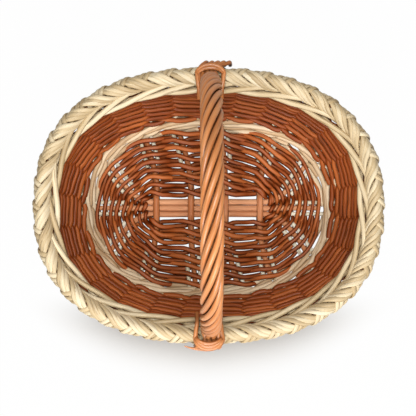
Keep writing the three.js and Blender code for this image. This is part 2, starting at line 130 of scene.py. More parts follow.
# Nodes written as sums: a wire is one socket, and the sums on it add Math nodes
class Wire:
    def __init__(self, tree, socket=None):
        self.tree, self.socket = tree, socket

    def node(self, kind, values=None, output=0, **settings):
        made = self.tree.nodes.new(kind)
        for key, value in settings.items():
            if key == "stops":
                for i, (position, colour) in enumerate(value):
                    stop = made.color_ramp.elements[i] if i < 2 else made.color_ramp.elements.new(position)
                    stop.position, stop.color = position, colour
            else:
                setattr(made, key, value)
        for key, value in (values or {}).items():
            if isinstance(value, Wire):
                self.tree.links.new(value.socket, made.inputs[key])
            else:
                made.inputs[key].default_value = value
        return Wire(self.tree, made.outputs[output] if len(made.outputs) else None)

    def sum(self, operation, *values):
        return self.node("ShaderNodeMath", dict(enumerate(values)), operation=operation)

    def method(operation):
        return lambda self, *others: self.sum(operation, self, *others)

    __add__, __sub__, __mul__, __truediv__ = map(method, ("ADD", "SUBTRACT", "MULTIPLY", "DIVIDE"))
    __pow__, __mod__, floor, absolute = map(method, ("POWER", "FLOORED_MODULO", "FLOOR", "ABSOLUTE"))
    cosine, sine, least, most = map(method, ("COSINE", "SINE", "MINIMUM", "MAXIMUM"))
    __radd__, __rmul__ = __add__, __mul__

    def __rsub__(self, other):
        return self.sum("SUBTRACT", other, self)

    def vector(self, operation, *values, output=0):
        return self.node("ShaderNodeVectorMath", dict(enumerate(values)), output, operation=operation)

    def scaled(self, amount):
        return self.node("ShaderNodeVectorMath", {0: self, "Scale": amount}, operation="SCALE")

    def along(self, other):
        return self.vector("DOT_PRODUCT", self, other, output="Value")

    def xyz(self, x, y, z):
        return self.node("ShaderNodeCombineXYZ", {0: x, 1: y, 2: z})

    def part(self, index):
        return self.node("ShaderNodeSeparateXYZ", {0: self}, index)

    def between(self, a, b):
        return a + (b - a) * self

    def ramp(self, low, high):
        return self.node("ShaderNodeMapRange", {0: self, 1: low, 2: high, 3: 0.0, 4: 1.0},
                         interpolation_type="SMOOTHSTEP")

    def blend(self, a, b):
        return self.node("ShaderNodeMix", {0: self, 6: a, 7: b}, 2, data_type="RGBA")

    def noise(self, vector, detail, roughness=0.5):
        return self.node("ShaderNodeTexNoise",
                         {"Vector": vector, "Scale": 1.0, "Detail": detail, "Roughness": roughness})

    def named(self, name, kind="FLOAT"):
        return self.node("GeometryNodeInputNamedAttribute", {"Name": name}, "Attribute", data_type=kind)

    def store(self, name, value, kind="FLOAT"):
        values = {"Geometry": self, "Name": name, "Value": value}
        return self.node("GeometryNodeStoreNamedAttribute", values, data_type=kind, domain="POINT")

    def moved(self, **values):
        return self.node("GeometryNodeSetPosition", {"Geometry": self, **values})

    def copied(self, count):
        places = self.node("GeometryNodeMeshLine", {"Count": count, "Offset": (0, 0, 0)}, mode="OFFSET")
        copies = self.node("GeometryNodeInstanceOnPoints", {"Points": places, "Instance": self})
        return self.node("GeometryNodeRealizeInstances", {"Geometry": copies})

    def random(self, seed, low=0.0, high=1.0):
        return self.node("FunctionNodeRandomValue", {2: low, 3: high, "ID": self, "Seed": seed}, 1,
                         data_type="FLOAT")

    def ended(self, material):
        real = self.node("GeometryNodeRealizeInstances", {"Geometry": self})
        done = self.node("GeometryNodeSetMaterial", {"Geometry": real, "Material": material})
        self.node("NodeGroupOutput", {"Geometry": done})


def newTree(name, inputs):
    # an input's kind follows from its value, and the one without a value is the material
    tree = bpy.data.node_groups.new(name, "GeometryNodeTree")
    tree.interface.new_socket("Geometry", in_out="INPUT", socket_type="NodeSocketGeometry")
    for label, value in inputs.items():
        kind = {int: "Int", float: "Float"}.get(type(value), "Material")
        socket = tree.interface.new_socket(label, in_out="INPUT", socket_type="NodeSocket" + kind)
        if value is not None:
            socket.default_value = value
    tree.interface.new_socket("Geometry", in_out="OUTPUT", socket_type="NodeSocketGeometry")
    source = tree.nodes.new("NodeGroupInput")
    given = Settings({socket.name: Wire(tree, socket) for socket in source.outputs if socket.name})
    return tree, Wire(tree), given


# How a piece's rods are swept: the sides round them, how far they waver from their line in
# millimetres, how quickly, and how uneven their thickness is
def sweepOf(sides, waver, waverScale, unevenness):
    return dict(sides=sides, waver=waver * mm, waverScale=waverScale, unevenness=unevenness)


# Every willow rod is swept along its line here. A line carries its thickness (a radius), its
# squash (how flat it is along its facing) and its tone. The rod gets the place along and round
# it as grain, and how far round it faces outward.
sweepInputs = dict(sweepOf(8, 0.5, 30.0, 0.12), material=None)
sweeping = Settings(
    waverShift=(7.3, 3.1), waverReach=4, swellAlong=22, swellShift=(90, 40), swellReach=2, grainShift=17)


def sweepTree():
    tree, wire, given = newTree("Willow rods", sweepInputs)
    tone = wire.named("rodTone")
    where = wire.node("GeometryNodeInputPosition")
    shifts = [tone * shift for shift in sweeping.waverShift]
    shifted = wire.vector("ADD", where, wire.xyz(*shifts, 0.0))
    noise = wire.node("ShaderNodeTexNoise",
                      {"Vector": shifted, "Scale": given.waverScale, "Detail": 1.0}, "Color")
    drift = wire.vector("SUBTRACT", noise, (0.5, 0.5, 0.5)).scaled(given.waver * sweeping.waverReach)
    line = given["Geometry"].moved(Offset=drift)
    curve = wire.node("GeometryNodeMeshToCurve", {"Mesh": line})
    curve = curve.store("along", wire.node("GeometryNodeSplineParameter", output="Length"))
    curve = curve.store("spine", where, "FLOAT_VECTOR")
    along, thickness = wire.named("along"), wire.named("thickness")
    lengthways, sideways = sweeping.swellShift
    swellPlace = wire.xyz(along * sweeping.swellAlong + tone * lengthways, tone * sideways, 0.0)
    swell = wire.noise(swellPlace, 1.0) - 0.5
    radius = thickness * (1 + swell * given.unevenness * sweeping.swellReach)
    ring = wire.node("GeometryNodeCurvePrimitiveCircle", {"Resolution": given.sides, "Radius": 1.0})
    ring = ring.store("around", where, "FLOAT_VECTOR")
    rods = wire.node("GeometryNodeCurveToMesh",
                     {"Curve": curve, "Profile Curve": ring, "Scale": radius, "Fill Caps": True})
    facing = wire.named("facing", "FLOAT_VECTOR")
    deep = wire.vector("SUBTRACT", where, wire.named("spine", "FLOAT_VECTOR")).along(facing)
    # how far round the rod faces outward; the materials paint shade on its sides and a highlight on its top
    # from it
    rods = rods.store("outward", deep / thickness)
    rods = rods.moved(Offset=facing.scaled(deep * (wire.named("squash") - 1)))
    around = wire.named("around", "FLOAT_VECTOR")
    grain = wire.xyz(along + tone * sweeping.grainShift,
                     around.part(0) * thickness, around.part(1) * thickness)
    rods = rods.store("grain", grain, "FLOAT_VECTOR")
    # the sides are smooth and the two ends, which have more corners, stay flat
    corners = wire.node("GeometryNodeInputMeshFaceNeighbors", output="Vertex Count")
    side = wire.node("FunctionNodeCompare", {2: corners, 3: 4}, data_type="INT", operation="LESS_EQUAL")
    rods = wire.node("GeometryNodeSetShadeSmooth", {"Geometry": rods, "Shade Smooth": side})
    rods.ended(given.material)
    return tree


willowTree = sweepTree()


def sweepAndEnd(given, lines):
    values = {label: given[label] for label in sweepInputs}
    rods = lines.node("GeometryNodeGroup", {"Geometry": lines, **values}, node_tree=willowTree)
    rods.ended(given.material)


def ovalAt(halfLength, halfWidth, angle):
    power = basket.ovalPower
    lengthways = (angle.cosine().absolute() / halfLength) ** power
    return (lengthways + (angle.sine().absolute() / halfWidth) ** power) ** (-1 / power)


# Weaving round the stakes: each strand goes inside and outside them in turn and climbs.
# The geometry that comes in is one point for each stake, with its angle at the foot and at the rim.
weaveInputs = dict(
    strands=26, pieces=1, spaces=18.0, steps=8, period=2.0, shift=0.0, sharpness=1.0, inward=0.0, saw=0.0,
    firstHeight=30 * mm, riseAtFoot=0.0, riseAtRim=0.0, roundRise=0.0, lowSwing=1.0, lowInward=0.0,
    butt=3 * mm, tip=2 * mm, grip=3 * mm, lead=0.2, seed=1, **sweepInputs)
weaving = Settings(
    nudge=0.0001, stepUp=(0.86, 1.0), looseHeight=0.7 * mm, swingHeights=(20 * mm, 60 * mm),
    inwardHeights=(40 * mm, 75 * mm), startSwing=0.8, startSpaces=(0.35, 0.95))


def stakeWeaveTree():
    tree, wire, given = newTree("Weave round the stakes", weaveInputs)
    steps = (given.spaces * given.steps).floor() + 1
    line = wire.node("GeometryNodeMeshLine", {"Count": steps, "Offset": (mm, 0, 0)}, mode="OFFSET")
    lines = line.copied(given.strands * given.pieces)
    index = wire.node("GeometryNodeInputIndex")
    rodNumber = (index / steps + weaving.nudge).floor()
    t = (index - rodNumber * steps) / given.steps
    strand = rodNumber % given.strands
    before = (rodNumber / given.strands + weaving.nudge).floor() * given.spaces
    whole = before + t
    taper = t / given.spaces
    thick = taper.between(given.butt, given.tip)
    # how high: by whole rounds or by a climb all along, with a sawtooth from stroke to stroke
    rounds = whole / basket.stakeCount
    rounds = rounds.floor() + (rounds - rounds.floor()).ramp(*weaving.stepUp)
    jitter = rodNumber.random(given.seed, -1.0, 1.0)
    height = given.firstHeight + given.roundRise * rounds + weaving.looseHeight * jitter
    risen = (t - given.lead).most(0.0)
    height = height + risen * (given.riseAtFoot + (given.riseAtRim - given.riseAtFoot) * taper * 0.5)
    turn = (whole - given.lead + given.shift) * (2 * pi) / given.period
    height = height + given.saw * (turn + pi / 2).cosine()
    # how far out: behind and before the stakes in turn, less near the foot and where a rod starts
    swing = (turn.cosine() * given.sharpness + given.inward).least(1.0).most(-1.0)
    startSwing = weaving.startSwing
    reach = height.ramp(*weaving.swingHeights).between(given.lowSwing, 1.0)
    reach = reach.most(startSwing - startSwing * t.ramp(*weaving.startSpaces))
    outward = swing * (given.grip + thick) * reach * -1
    # the lowest rows lie a little further in, over the stakes
    outward = outward - given.lowInward * (1 - height.ramp(*weaving.inwardHeights))
    place = strand + whole - given.lead
    first = place.floor()
    part = place - first

    def angleOf(name):
        def at(number):
            values = {"Geometry": given["Geometry"], "Value": wire.named(name),
                      "Index": number % basket.stakeCount}
            return wire.node("GeometryNodeSampleIndex", values, data_type="FLOAT", domain="POINT")
        low, high = at(first), at(first + 1)
        return low + part * ((high - low + pi) % (2 * pi) - pi)

    rim, foot = angleOf("rimAngle"), angleOf("footAngle")
    spread = height.ramp(basket.baseLevel, basket.baseLevel + basket.spreadHeight)
    turnTo = (rim - foot + pi) % (2 * pi) - pi
    angle = foot + turnTo * spread
    rise = (height - basket.baseLevel) / wallRise
    share = basket.evenFlare * rise + (1 - basket.evenFlare) * (1 - (1 - rise) * (1 - rise) * (1 - rise))
    radius = ovalAt(share.between(footSize[0], topSize[0]) + outward,
                    share.between(footSize[1], topSize[1]) + outward, angle)
    lines = lines.store("thickness", thick).store("squash", 1.0)
    lines = lines.store("facing", (0.0, 0.0, 1.0), "FLOAT_VECTOR")
    lines = lines.store("rodTone", rodNumber.random(given.seed + 5))
    lines = lines.moved(Position=wire.xyz(radius * angle.cosine(), radius * angle.sine(), height))
    sweepAndEnd(given, lines)
    return tree


# Rods laid in a ring: the guide lines that come in are repeated round an oval. A guide's X counts
# spaces along the oval, its Y is metres outward and its Z is the height.
ringInputs = dict(
    count=26, phase=0.0, halfLength=0.2, halfWidth=0.15, looseAlong=0.03, looseAcross=0.5 * mm, seed=1,
    **sweepInputs)
ringing = Settings(nudge=0.00001, guideRods=8, steps=512)


def ringTree():
    tree, wire, given = newTree("Rods round the border", ringInputs)
    lines = given["Geometry"].copied(given.count)
    size = wire.node("GeometryNodeAttributeDomainSize", {"Geometry": given["Geometry"]}, "Point Count",
                     component="MESH")
    copy = (wire.node("GeometryNodeInputIndex") / size + ringing.nudge).floor()
    rodNumber = copy * ringing.guideRods + wire.named("rodNumber")
    guide = wire.node("GeometryNodeInputPosition")
    slip = rodNumber.random(given.seed, -1.0, 1.0) * given.looseAlong
    across = rodNumber.random(given.seed + 3, -1.0, 1.0) * given.looseAcross
    lift = rodNumber.random(given.seed + 6, -1.0, 1.0) * given.looseAcross
    circle = wire.node("GeometryNodeCurvePrimitiveCircle", {"Resolution": ringing.steps, "Radius": 1.0})
    angle = wire.sum("ARCTAN2", guide.part(1), guide.part(0))
    radius = ovalAt(given.halfLength, given.halfWidth, angle)
    oval = circle.moved(Position=wire.xyz(radius * angle.cosine(), radius * angle.sine(), 0.0))
    factor = (guide.part(0) + copy + given.phase + slip) / given.count % 1.0
    lines = lines.store("rodTone", rodNumber.random(given.seed + 9))

    def sample(output):
        return wire.node("GeometryNodeSampleCurve", {"Curves": oval, "Factor": factor}, output,
                         mode="FACTOR", use_all_curves=True)

    out = wire.vector("CROSS_PRODUCT", sample("Tangent"), (0, 0, 1))
    facing = wire.named("facing", "FLOAT_VECTOR")
    facing = wire.vector("ADD", out.scaled(facing.part(1)), wire.xyz(0.0, 0.0, facing.part(2)))
    lines = lines.store("facing", facing, "FLOAT_VECTOR")
    where = wire.vector("ADD", sample("Position"), out.scaled(guide.part(1) + across))
    where = wire.vector("ADD", where, wire.xyz(0.0, 0.0, guide.part(2) + lift))
    sweepAndEnd(given, lines.moved(Position=where))
    return tree


weaveTree = stakeWeaveTree()
borderTree = ringTree()
print("node trees ready")


def pointMesh(points, edges, **values):
    mesh = bpy.data.meshes.new("lines")
    mesh.from_pydata(points, edges, [])
    for key, numbers in values.items():
        mesh.attributes.new(key, "FLOAT", "POINT").data.foreach_set("value", numbers)
    return mesh


# Lines for the trees. A rod is its points with a radius, a squash and the way it faces.
def lineMesh(rods, seed):
    picks = random.Random(seed)
    points, edges, facings = [], [], []
    values = {"thickness": [], "squash": [], "rodTone": [], "rodNumber": []}
    for number, rod in enumerate(rods):
        start, count, radius = len(points), len(rod["points"]), rod["radius"]
        points += [tuple(point) for point in rod["points"]]
        edges += [(start + i, start + i + 1) for i in range(count - 1)]
        tone = rod.get("tone", picks.random())
        for i in range(count):
            values["thickness"].append(radius(i / (count - 1)) if callable(radius) else radius)
            values["squash"].append(rod.get("squash", 1.0))
            values["rodTone"].append(tone)
            values["rodNumber"].append(float(number))
            facings += rod["facings"][i] if "facings" in rod else (0.0, 0.0, 1.0)
    mesh = pointMesh(points, edges, **values)
    mesh.attributes.new("facing", "FLOAT_VECTOR", "POINT").data.foreach_set("vector", facings)
    return mesh


def guideRod(path, settings):
    # a ring's guide in millimetres, smoothed as if each space along the oval had this length
    space = settings.space
    points = smoothLine([Vector((x * space, y * mm, z * mm)) for x, y, z in path], settings.spacing)
    return {"points": [Vector((point.x / space, point.y, point.z)) for point in points],
            "radius": thinning(settings.radius, settings.tipShrink)}


def placed(name, data):
    made = bpy.data.objects.new(name, data)
    bpy.context.scene.collection.objects.link(made)
    return made


def grow(name, source, tree, settings, material, nodes):
    # runs the tree on the lines and keeps the result as a plain mesh
    helper = placed(name + "_lines", source)
    modifier = helper.modifiers.new("Rods", "NODES")
    modifier.node_group = tree
    values = {**settings, "material": material}
    for item in tree.interface.items_tree:
        if item.in_out == "INPUT" and item.name in values:
            modifier[item.identifier] = values[item.name]
    graph = bpy.context.evaluated_depsgraph_get()
    mesh = bpy.data.meshes.new_from_object(helper.evaluated_get(graph), depsgraph=graph)
    helper.modifiers.remove(modifier)
    bpy.data.objects.remove(helper)
    mesh.name = name
    made = placed(name, mesh)
    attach(made, "root")
    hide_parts(*nodes)
    triangles = sum(len(face.vertices) - 2 for face in mesh.polygons)
    print(name, len(mesh.vertices), "points", triangles, "triangles")


# Willow: tone from rod to rod, streaks along it, soft blotches and leaf scars. A pattern has its
# size along and round the rod, its detail and its roughness. A look has its shades from dark to
# light, how far tone, blotches and streaks spread them, and tints with their share and colour,
# which include a painted shade along the rods' sides and a painted highlight on their tops.
bark = Settings(
    streak=(14, 900, 4.0, 0.6), fibre=(45, 2600, 3.0, 0.7), blotch=(30, 120, 3.0, 0.55), scars=(16, 210),
    scarEdge=0.5, fibreRange=(0.35, 0.75), rubRange=(0.7, 1.0), streakRough=0.25, scarRough=0.15,
    toneRough=0.1, streakRelief=0.6, fibreRelief=0.4, scarRelief=0.8, depth=0.4 * mm, density=1.45,
    coatRoughness=0.25)


def newMaterial(name):
    material = bpy.data.materials.new(name)
    material.use_nodes = True
    material.node_tree.nodes.clear()
    return material, Wire(material.node_tree)


def opaque(colour):
    return (*colour, 1)


def willow(name, look, **changes):
    look = Settings(look, **changes)
    material, wire = newMaterial(name)

    def attribute(key, output):
        return wire.node("ShaderNodeAttribute", None, output, attribute_name=key)

    grain = attribute("grain", "Vector")
    tone, outward = attribute("rodTone", "Fac"), attribute("outward", "Fac")

    def stretched(along, around):
        return wire.vector("MULTIPLY", grain, (along, around, around))

    def pattern(key):
        along, around, detail, roughness = bark[key]
        return wire.noise(stretched(along, around), detail, roughness)

    streak, fibre, blotch = pattern("streak"), pattern("fibre"), pattern("blotch")
    cells = {"Vector": stretched(*bark.scars), "Scale": 1.0, "Randomness": 1.0}
    cell = wire.node("ShaderNodeTexVoronoi", cells, "Distance", feature="F1")
    scarSize, scarTint, scarColour = look.scar
    scar = 1 - cell.ramp(scarSize * bark.scarEdge, scarSize)
    shade = tone * look.spread[0] + blotch * look.spread[1] + streak * look.spread[2]
    low, high = look.shadeRange
    shade = (shade - low) / (high - low)
    dark, middle, light = map(opaque, look.shades)
    stops = [(0.0, dark), (1.0, light), (look.middleAt, middle)]
    colour = wire.node("ShaderNodeValToRGB", {"Fac": shade}, "Color", stops=stops)
    # painted shade darkens each rod's sides and a painted highlight lightens its top, both by how far round
    # it faces outward
    for share, tint in ((fibre.ramp(*bark.fibreRange) * look.fibre[0], look.fibre[1]),
                        (scar * scarTint, scarColour),
                        ((1 - outward.ramp(*look.edge)) * look.edgeTint, look.edgeColour),
                        (outward.ramp(*bark.rubRange) * streak * look.rub[0], look.rub[1])):
        colour = share.blend(colour, opaque(tint))
    rough = (look.roughness + (streak - 0.5) * bark.streakRough + scar * bark.scarRough
             + (tone - 0.5) * bark.toneRough)
    relief = streak * bark.streakRelief + fibre * bark.fibreRelief + scar * bark.scarRelief
    bump = wire.node("ShaderNodeBump",
                     {"Strength": look.relief, "Distance": bark.depth, "Height": relief}, "Normal")
    shader = wire.node("ShaderNodeBsdfPrincipled", {
        "Base Color": colour, "Roughness": rough, "Normal": bump, "IOR": bark.density,
        "Coat Weight": look.coat, "Coat Roughness": bark.coatRoughness,
        "Specular IOR Level": look.specular})
    wire.node("ShaderNodeOutputMaterial", {"Surface": shader})
    return material


# every look sets its painted shade along the rods' sides and its painted highlight along their tops
brownLook = Settings(
    shades=((0.04, 0.006, 0.001), (0.212, 0.034, 0.003), (0.55, 0.148, 0.028)), middleAt=0.45,
    spread=(0.45, 0.5, 0.7), shadeRange=(0.25, 1.4), fibre=(0.25, (0.50, 0.17, 0.055)),
    scar=(0.24, 0.65, (0.04, 0.012, 0.004)), roughness=0.4, relief=0.4, coat=0.0, specular=0.2,
    edge=(-0.1, 0.7), edgeTint=0.5, edgeColour=(0.05, 0.007, 0.001), rub=(0.25, (0.62, 0.19, 0.06)))
brownWillow = willow("Brown willow", brownLook)
baseWillow = willow(
    "Base willow", brownLook, shades=((0.045, 0.006, 0.001), (0.235, 0.036, 0.003), (0.62, 0.17, 0.035)),
    edge=(0.05, 0.9), edgeTint=0.85, edgeColour=(0.025, 0.003, 0.001), rub=(0.6, (0.66, 0.235, 0.09)))
stickWillow = willow(
    "Stick willow", brownLook, shades=((0.14, 0.035, 0.008), (0.46, 0.15, 0.05), (0.86, 0.46, 0.25)),
    middleAt=0.5, edgeTint=0.7, edgeColour=(0.07, 0.016, 0.004))
creamLook = Settings(
    shades=((0.19, 0.11, 0.04), (0.52, 0.39, 0.215), (0.85, 0.755, 0.555)), middleAt=0.5,
    spread=(0.5, 0.55, 0.65), shadeRange=(0.2, 1.35), fibre=(0.3, (0.40, 0.28, 0.13)),
    scar=(0.2, 0.55, (0.25, 0.14, 0.05)), roughness=0.5, relief=0.4, coat=0.0, specular=0.35,
    edge=(-0.2, 0.6), edgeTint=0.6, edgeColour=(0.20, 0.12, 0.045), rub=(0.12, (0.93, 0.86, 0.68)))
creamWillow = willow("Peeled willow", creamLook)
# the stakes are painted much lighter than the peeled willow, as painted light where they show through the
# base and the wall, and get no painted shade on their sides
stakeWillow = willow(
    "Stake willow", creamLook, shades=((0.45, 0.36, 0.22), (0.82, 0.73, 0.54), (0.93, 0.88, 0.74)),
    edgeTint=0.0)
waleWillow = willow(
    "Wale willow", creamLook, shades=((0.22, 0.10, 0.035), (0.57, 0.37, 0.20), (0.90, 0.755, 0.54)))
handleLook = Settings(
    shades=((0.15, 0.038, 0.009), (0.465, 0.15, 0.038), (0.74, 0.32, 0.118)), middleAt=0.5,
    spread=(0.3, 0.45, 0.6), shadeRange=(0.15, 1.2), fibre=(0.25, (0.66, 0.36, 0.16)),
    scar=(0.18, 0.5, (0.12, 0.04, 0.012)), roughness=0.36, relief=0.3, coat=0.1, specular=0.5,
    edge=(-0.1, 0.5), edgeTint=0.75, edgeColour=(0.06, 0.014, 0.004), rub=(0.3, (0.80, 0.44, 0.20)))
handleWillow = willow("Handle willow", handleLook)
bowWillow = willow(
    "Bow willow", handleLook, shades=((0.045, 0.010, 0.002), (0.15, 0.035, 0.008), (0.36, 0.105, 0.03)),
    edgeTint=0.5, coat=0.0, specular=0.25)

# Base sticks: three long ones through four slit cross sticks, all splayed like a fan to the edge.
# Angles are degrees round the base, and a tone lies on the scale from dark to light.
sticks = Settings(
    longRadius=4.3 * mm, longPitch=8.5 * mm, longPlaces=(-1, 0, 1), longStart=79.75 * mm, longFan=24.2,
    longMiddle=range(-76, 77, 8), crossRadius=4.75 * mm, crossPitch=48 * mm,
    crossPlaces=(-1.5, -0.5, 0.5, 1.5), crossStart=24.55 * mm, crossInner=(17, 20, 23),
    topAngles=(132.2, 111, 80.7, 47.8), bottomAngles=(227.8, 260.7, 291, 312.2), endInset=4 * mm, bend=0.33,
    endSteps=14, tipShrink=0.78, slitFrom=10.5 * mm, slitTo=23 * mm, halfSteps=range(-24, 25),
    halfRest=0.6 * mm, halfRise=6.1 * mm, halfRadius=4.5 * mm, halfSquash=0.66, longTone=1.1,
    longToneSpread=0.2 / 9, crossTone=0.3, halfTone=0.35, toneStep=0.15, sweep=sweepOf(12, 0.4, 18.0, 0.08))
stickEndSize = (basket.baseLength - sticks.endInset, basket.baseWidth - sticks.endInset)


class StickEnd:
    # one end of a stick in plan: straight on, then bent to its place on the base's edge
    def __init__(self, start, heading, degrees, radius):
        self.start, self.radius, self.degrees = Vector(start), radius, degrees
        edge = ovalPoint(stickEndSize, radians(degrees))
        self.end = Vector((edge.x, edge.y))
        self.bend = self.start + Vector(heading) * ((self.end - self.start).length * sticks.bend)

    def at(self, t):
        return self.start * (1 - t) ** 2 + self.bend * 2 * t * (1 - t) + self.end * t * t

    def heading(self, t):
        return ((self.bend - self.start) * (1 - t) + (self.end - self.bend) * t).normalized()

    def line(self):
        steps = sticks.endSteps
        return [domed(*self.at(i / steps)) for i in range(steps + 1)]


def crossEnds(side, angles):
    return [StickEnd((place * sticks.crossPitch, side * sticks.crossStart), (0, side), angle,
                     sticks.crossRadius) for place, angle in zip(sticks.crossPlaces, angles)]


def longEnds(side, middleAngle):
    return [StickEnd((side * sticks.longStart, place * sticks.longPitch), (side, 0),
                     middleAngle + side * place * sticks.longFan, sticks.longRadius)
            for place in sticks.longPlaces]


topEnds, bottomEnds = crossEnds(1, sticks.topAngles), crossEnds(-1, sticks.bottomAngles)
rightEnds, leftEnds = longEnds(1, 0), longEnds(-1, 180)


def stickRods():
    rods = []

    def longRadius(share):
        return sticks.longRadius * mix(1, sticks.tipShrink, max(abs(share - 0.5) * 4 - 1, 0))

    for left, right in zip(leftEnds, rightEnds):
        y = right.start.y
        middle = [domed(x * mm, y) for x in sticks.longMiddle]
        rods.append({"points": [*reversed(left.line()), *middle, *right.line()],
                     "radius": longRadius, "tone": sticks.longTone + sticks.longToneSpread * y / mm})
    for number, (top, bottom) in enumerate(zip(topEnds, bottomEnds)):
        x = top.start.x
        for end, side in ((top, 1), (bottom, -1)):
            inner = [domed(x, side * y * mm) for y in sticks.crossInner]
            rods.append({"points": [*inner, *end.line()],
                         "radius": thinning(sticks.crossRadius, sticks.tipShrink),
                         "tone": sticks.crossTone + sticks.toneStep * number})
        # the two halves of the slit stick, over and under the long ones
        for side in (1, -1):
            points = []
            for step in sticks.halfSteps:
                y = step * mm
                opened = 1 - smoothStep(abs(y), sticks.slitFrom, sticks.slitTo)
                points.append(domed(x, y, side * mix(sticks.halfRest, sticks.halfRise, opened)))
            rods.append({"points": points, "radius": sticks.halfRadius, "squash": sticks.halfSquash,
                         "tone": sticks.halfTone + sticks.toneStep * number})
    return rods


crossNames = [f"base_cross_stick_{i + 1}" for i in range(4)]
longNames = [f"base_long_stick_{i + 1}" for i in range(3)]
grow("base_sticks", lineMesh(stickRods(), 11), willowTree, sticks.sweep, stickWillow,
     [*crossNames, *longNames])

# Base weave: pairing, two rods that twist round each other between the sticks. Round the long
# sticks' ends it is finer and more open.
pairing = Settings(
    rounds=8, seed=4, radius=3.7 * mm, steps=12, leastSteps=8, firstCross=22.5 * mm, firstLong=9 * mm,
    last=0.975, stepSpoke=3, loose=1.7 * mm, outerFirmness=0.6, apart=0.98, sharpness=1.55, above=0.6,
    roundness=0.7, edgeHeight=0.82, pieceSpokes=19, pieceChange=4, pieceShift=0.4, overlap=0.32,
    thickness=(0.95, 1.07), taper=(1.04, 0.86), finer=0.8, openSharpness=0.6, openApart=0.8,
    sweep=sweepOf(8, 0.7, 26.0, 0.12))
spokes = sorted([*topEnds, *bottomEnds, *rightEnds, *leftEnds], key=lambda end: end.degrees % 360)


def isLong(spoke):
    return spoke.radius == sticks.longRadius


def spokeAt(end, share):
    # by length along the stick, from the first round to the last
    length = (end.end - end.start).length
    first = pairing.firstLong if isLong(end) else pairing.firstCross - sticks.crossStart
    reach = mix(first, pairing.last * length, share)
    if reach < 0:
        return end.start + end.heading(0) * reach
    bend = sticks.bend
    return end.at((sqrt(bend ** 2 + (1 - 2 * bend) * reach / length) - bend) / (1 - 2 * bend))


def openness(place):
    i = int(place)
    near = [float(isLong(spokes[(i + j) % len(spokes)])) for j in (0, 1)]
    return mix(*near, place - i)


def pairingRods():
    count = len(spokes)
    total = pairing.rounds * count + pairing.stepSpoke
    knots = []
    picks = random.Random(pairing.seed)
    for i in range(-1, total + 2):
        # each round is closed, with its step up to the next one at one spoke, under the handle
        rounds = min(max((i - pairing.stepSpoke) // count, 0), pairing.rounds - 1)
        share = rounds / (pairing.rounds - 1)
        loose = Vector((picks.uniform(-1, 1), picks.uniform(-1, 1))) * pairing.loose
        knots.append(spokeAt(spokes[i % count], share) + loose * (1 - share * pairing.outerFirmness))

    def centre(place):
        i = min(int(place), total - 1)
        t = place - i
        a, b, c, d = (knots[i + j] for j in range(4))
        along = 0.5 * ((c - a) + 2 * (2 * a - 5 * b + 4 * c - d) * t + 3 * (3 * b - a - 3 * c + d) * t ** 2)
        return curveAt(a, b, c, d, t), along.normalized()

    def weaver(place, phase):
        spot, along = centre(place)
        stick = spokes[int(place + 0.5) % count].radius * mix(1, sticks.tipShrink, place / total)
        turn = pi * (place + phase)
        rise = cos(turn)
        height = stick + pairing.radius * pairing.above
        height *= copysign(abs(rise) ** pairing.roundness, rise)
        height *= mix(1, pairing.edgeHeight, place / total)
        opened = openness(place)
        sharpness = pairing.sharpness * mix(1, pairing.openSharpness, opened)
        aside = min(max(sin(turn) * sharpness, -1), 1) * pairing.radius * pairing.apart
        aside *= mix(1, pairing.openApart, opened)
        return domed(*Vector((spot.x + along.y * aside, spot.y - along.x * aside)), height)

    rods = []
    for phase in (0, 1):
        start = 0.0
        while start < total - 1:
            length = pairing.pieceSpokes + picks.randint(-pairing.pieceChange, pairing.pieceChange)
            end = min(start + (length + pairing.pieceShift * picks.random()), total)
            low = max(start - pairing.overlap, 0)
            steps = max(pairing.leastSteps, int((end - low) * pairing.steps))
            points = [weaver(mix(low, end, i / steps), phase) for i in range(steps + 1)]
            thick = pairing.radius * picks.uniform(*pairing.thickness)
            rods.append({"points": points, "tone": picks.random(),
                         "radius": lambda share, thick=thick, low=low, end=end: (
                             thick * mix(*pairing.taper, share)
                             * mix(1, pairing.finer, openness(mix(low, end, share))))})
            start = end
    return rods


grow("base_weave_rods", lineMesh(pairingRods(), 12), willowTree, pairing.sweep, baseWillow,
     ["base_weave"])

# Side stakes: pushed in beside the stick ends, bent up at the edge and spread evenly up the wall.
# Two cross sticks have a stake on one side only.
stakes = Settings(
    insert=0.45, gap=0.6 * mm, tipShrink=0.86, single=((topEnds, 1), (bottomEnds, 2)),
    heights=(11.75, 17.4, 26, 36, 46, 60, 75, 90, 104, 115), spacing=5 * mm,
    sweep=sweepOf(8, 0.3, 20.0, 0.08))


def shortTurn(turn):
    return atan2(sin(turn), cos(turn))


def stakeFeet():
    feet = []

    def beside(end, sides):
        aside = end.radius + basket.stakeRadius + stakes.gap
        for side in sides:
            points = []
            for t in (1 - stakes.insert, 1 - stakes.insert / 2, 1):
                along = end.heading(t)
                points.append(end.at(t) + Vector((-along.y, along.x)) * side * aside)
            feet.append({"points": points, "angle": atan2(points[2].y, points[2].x) % (2 * pi)})

    for end in [*rightEnds, *leftEnds]:
        beside(end, (-1, 1))
    for ends, single in stakes.single:
        for i, end in enumerate(ends):
            beside(end, (1,) if i == single else (-1, 1))
    return sorted(feet, key=lambda foot: foot["angle"])


feet = stakeFeet()
rimAngles = evenAngles(len(feet), basket.stakePhase)


def stakeRods():
    rods = []
    for foot, rim in zip(feet, rimAngles):
        points = [domed(point.x, point.y) for point in foot["points"]]
        for height in stakes.heights:
            height *= mm
            spread = smoothStep(height, basket.baseLevel, basket.baseLevel + basket.spreadHeight)
            angle = foot["angle"] + shortTurn(rim - foot["angle"]) * spread
            points.append(ovalPoint(wallAt(height), angle, height))
        rods.append({"points": smoothLine(points, stakes.spacing),
                     "radius": thinning(basket.stakeRadius, stakes.tipShrink)})
    return rods


